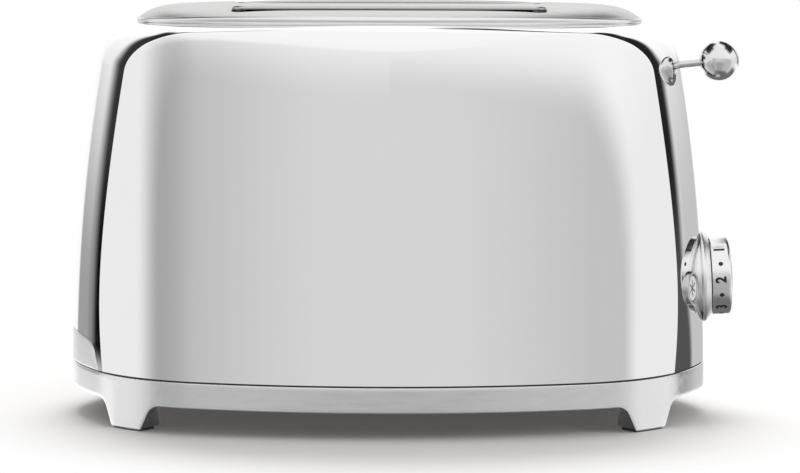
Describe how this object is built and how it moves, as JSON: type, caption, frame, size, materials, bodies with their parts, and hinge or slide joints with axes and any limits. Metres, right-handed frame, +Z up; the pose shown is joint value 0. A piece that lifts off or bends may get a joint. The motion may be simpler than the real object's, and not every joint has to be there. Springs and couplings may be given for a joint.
{
  "type": "toaster",
  "caption": "Retro slotted toaster with a domed polished shell, oval brushed top plate, ball lever, browning dial, push buttons and a crumb tray that slides out of its left end.",
  "frame": {"origin": "under the middle of the whole part, from the tray's grip to the lever's ball, on the plane that the rubber pads stand on; the middle of the body lies 7.8 mm to the left of it, at -X", "axes": "+X along the slots towards the lever and the dial, -Y towards the front face, +Z up"},
  "size_m": [0.323, 0.194, 0.1979],
  "materials": {
    "chrome_shell": "mirror polished",
    "brushed_plate": "brushed along the slots",
    "satin_base": "satin silver",
    "grip_satin": "satin silver",
    "pad_rubber": "matt black",
    "cover_plastic": "fine grained black",
    "zinc_steel": "zinc plated sheet",
    "polished_steel": "ground and polished",
    "spring_steel": "drawn wire",
    "core_iron": "bare soft iron",
    "coil_copper": "enamelled copper wire",
    "baffle_dark": "matt black",
    "trim_chrome": "polished",
    "inner_plastic": "moulded",
    "board_green": "lacquered circuit board",
    "brass_pole": "turned brass",
    "knob_chrome": "mirror polished",
    "stem_chrome": "polished",
    "dial_chrome": "polished with black numerals",
    "cap_chrome": "polished",
    "button_white": "glossy white",
    "tray_steel": "plain rolled sheet",
    "mica_board": "pressed mica sheet",
    "heating_ribbon": "oxidised resistance ribbon",
    "guard_wire": "plated wire"
  },
  "bodies": {
    "housing": {"outer_shell": "chrome_shell", "top_plate": "brushed_plate", "slot_collars": "brushed_plate", "base_moulding": "satin_base", "foot_pads": "pad_rubber", "bottom_cover": "cover_plastic", "wrap_posts": "cover_plastic", "cord_gland": "pad_rubber", "cover_screws": "zinc_steel", "chassis_left": "zinc_steel", "chassis_right": "zinc_steel", "chassis_screws": "zinc_steel", "heat_shield_front": "zinc_steel", "heat_shield_rear": "zinc_steel", "crumb_chute": "zinc_steel", "guide_rod": "polished_steel", "spring_seat": "zinc_steel", "lift_spring": "spring_steel", "magnet_core": "core_iron", "magnet_coil": "coil_copper", "lever_baffle": "baffle_dark", "dial_escutcheon": "trim_chrome", "dial_bush": "inner_plastic", "dial_control": "inner_plastic", "control_board": "board_green", "board_parts": "inner_plastic", "button_switches": "inner_plastic", "bezel_front": "trim_chrome", "bezel_rear": "trim_chrome", "tray_runners": "zinc_steel", "terminal_block": "inner_plastic", "terminal_screws": "brass_pole", "mica_outer_front": "mica_board", "ribbon_outer_front": "heating_ribbon", "mica_inner_front": "mica_board", "ribbon_inner_front": "heating_ribbon", "mica_inner_rear": "mica_board", "ribbon_inner_rear": "heating_ribbon", "mica_outer_rear": "mica_board", "ribbon_outer_rear": "heating_ribbon"},
    "lever_carriage": {"lever_ball": "knob_chrome", "lever_stem": "stem_chrome", "carriage_bracket": "zinc_steel", "carriage_bush": "brass_pole", "armature_plate": "core_iron", "lifter_front": "zinc_steel", "lifter_rear": "zinc_steel"},
    "dial": {"browning_dial": "dial_chrome", "dial_shaft": "polished_steel"},
    "cancel": {"cancel_button": "cap_chrome"},
    "defrost": {"defrost_button": "button_white"},
    "reheat": {"reheat_button": "button_white"},
    "crumb_tray": {"tray_pan": "tray_steel", "tray_grip": "grip_satin"},
    "rack_outer_front": {"guard_outer_front": "guard_wire"},
    "rack_inner_front": {"guard_inner_front": "guard_wire"},
    "rack_inner_rear": {"guard_inner_rear": "guard_wire"},
    "rack_outer_rear": {"guard_outer_rear": "guard_wire"}
  },
  "joints": [
    {"name": "lever_slide", "type": "slide", "parent": "housing", "child": "lever_carriage", "axis": [0, 0, -1], "range_m": [0, 0.07], "stiffness_N_per_m": 60, "springref_m": -0.05, "deforming": ["lift_spring"]},
    {"name": "dial_turn", "type": "hinge", "parent": "housing", "child": "dial", "pos_m": [0.14442, 0, 0.066], "axis": [-0.9986, 0, -0.0523], "range_deg": [0, 282]},
    {"name": "cancel_press", "type": "slide", "parent": "dial", "child": "cancel", "axis": [-0.9986, 0, -0.0523], "range_m": [0, 0.0015], "stiffness_N_per_m": 400, "springref_m": -0.002},
    {"name": "defrost_press", "type": "slide", "parent": "housing", "child": "defrost", "axis": [-0.9219, 0.3846, -0.0459], "range_m": [0, 0.0015], "stiffness_N_per_m": 400, "springref_m": -0.002},
    {"name": "reheat_press", "type": "slide", "parent": "housing", "child": "reheat", "axis": [-0.9219, -0.3846, -0.0459], "range_m": [0, 0.0015], "stiffness_N_per_m": 400, "springref_m": -0.002},
    {"name": "tray_slide", "type": "slide", "parent": "housing", "child": "crumb_tray", "axis": [-1, 0, 0], "range_m": [0, 0.24]},
    {"name": "rack_outer_front_lean", "type": "hinge", "parent": "housing", "child": "rack_outer_front", "pos_m": [-0.00778, -0.0425, 0.048], "axis": [-1, 0, 0], "range_deg": [0, 3.6]},
    {"name": "rack_inner_front_lean", "type": "hinge", "parent": "housing", "child": "rack_inner_front", "pos_m": [-0.00778, -0.0145, 0.048], "axis": [1, 0, 0], "range_deg": [0, 3.6]},
    {"name": "rack_inner_rear_lean", "type": "hinge", "parent": "housing", "child": "rack_inner_rear", "pos_m": [-0.00778, 0.0145, 0.048], "axis": [-1, 0, 0], "range_deg": [0, 3.6]},
    {"name": "rack_outer_rear_lean", "type": "hinge", "parent": "housing", "child": "rack_outer_rear", "pos_m": [-0.00778, 0.0425, 0.048], "axis": [1, 0, 0], "range_deg": [0, 3.6]}
  ],
  "couplings": [
    {"joint": "rack_outer_front_lean", "follows": "lever_slide", "rad_per_m": 0.87267},
    {"joint": "rack_inner_front_lean", "follows": "lever_slide", "rad_per_m": 0.87267},
    {"joint": "rack_inner_rear_lean", "follows": "lever_slide", "rad_per_m": 0.87267},
    {"joint": "rack_outer_rear_lean", "follows": "lever_slide", "rad_per_m": 0.87267}
  ]
}
